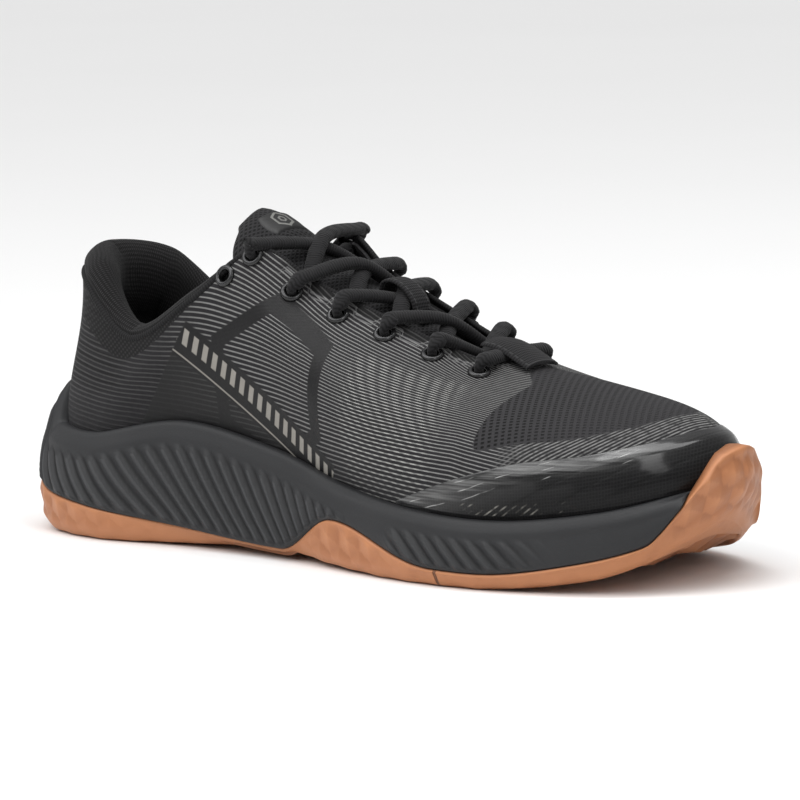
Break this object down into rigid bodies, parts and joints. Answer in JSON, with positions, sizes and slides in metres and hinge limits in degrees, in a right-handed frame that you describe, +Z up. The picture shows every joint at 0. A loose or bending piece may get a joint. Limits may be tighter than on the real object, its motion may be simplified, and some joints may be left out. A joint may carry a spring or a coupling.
{
  "type": "court shoe",
  "caption": "Low-cut court shoe with a gum rubber sole, hexagon tread and shank window, dark padded upper, lace and free tongue top.",
  "frame": {"origin": "on the ground under the centre of the heel", "axes": "+X from heel to toe, +Y to the medial side, +Z up"},
  "size_m": [0.3065, 0.1139, 0.1165],
  "materials": {
    "gum": "matte gum rubber with a moulded tread",
    "midsole_foam": "matte dark grey foam with moulded ribs",
    "board": "fibre board",
    "insole_fabric": "brushed knit",
    "upper_fabric": "charcoal knit with raised light grey lines",
    "vamp_mesh": "open mesh",
    "overlay": "semi-gloss film over textile",
    "collar_mesh": "padded spacer mesh",
    "padding": "open-cell foam",
    "tongue_mesh": "coarse diagonal mesh",
    "badge": "woven label with no marks",
    "webbing": "ribbed tape",
    "lace_cord": "ribbed flat weave",
    "gloss_black": "gloss black",
    "carbon": "twill weave under clear resin",
    "stiffener": "moulded sheet"
  },
  "bodies": {
    "shoe_rear": {"outsole_rear": "gum", "midsole_rear": "midsole_foam", "insole_board_rear": "board", "insole_rear": "insole_fabric", "quarters": "upper_fabric", "eyestay_medial": "upper_fabric", "eyestay_lateral": "upper_fabric", "collar_lining": "collar_mesh", "collar_foam": "padding", "tongue": "tongue_mesh", "heel_tape": "webbing", "throat_tab": "webbing", "tongue_lace_loop": "webbing", "lace": "lace_cord", "aglet_medial": "gloss_black", "aglet_lateral": "gloss_black", "eyelet_medial_1": "gloss_black", "eyelet_medial_2": "gloss_black", "eyelet_medial_3": "gloss_black", "eyelet_medial_4": "gloss_black", "eyelet_medial_5": "gloss_black", "eyelet_medial_6": "gloss_black", "eyelet_medial_7": "gloss_black", "eyelet_lateral_1": "gloss_black", "eyelet_lateral_2": "gloss_black", "eyelet_lateral_3": "gloss_black", "eyelet_lateral_4": "gloss_black", "eyelet_lateral_5": "gloss_black", "eyelet_lateral_6": "gloss_black", "eyelet_lateral_7": "gloss_black", "shank_plate": "carbon", "heel_counter": "stiffener"},
    "forefoot": {"outsole_front": "gum", "midsole_front": "midsole_foam", "insole_board_front": "board", "insole_front": "insole_fabric", "vamp": "vamp_mesh", "toe_cap": "overlay", "toe_puff": "stiffener"},
    "tongue_flap": {"tongue_top": "tongue_mesh", "tongue_badge": "badge"}
  },
  "joints": [
    {"name": "toe_flex", "type": "hinge", "parent": "shoe_rear", "child": "forefoot", "pos_m": [0.168, 0, 0.032], "axis": [0, -1, 0], "range_deg": [0, 40], "deforming": ["vamp"]},
    {"name": "tongue_hinge", "type": "hinge", "parent": "shoe_rear", "child": "tongue_flap", "pos_m": [0.0623, 0, 0.109], "axis": [0, 1, 0], "range_deg": [0, 45]}
  ]
}
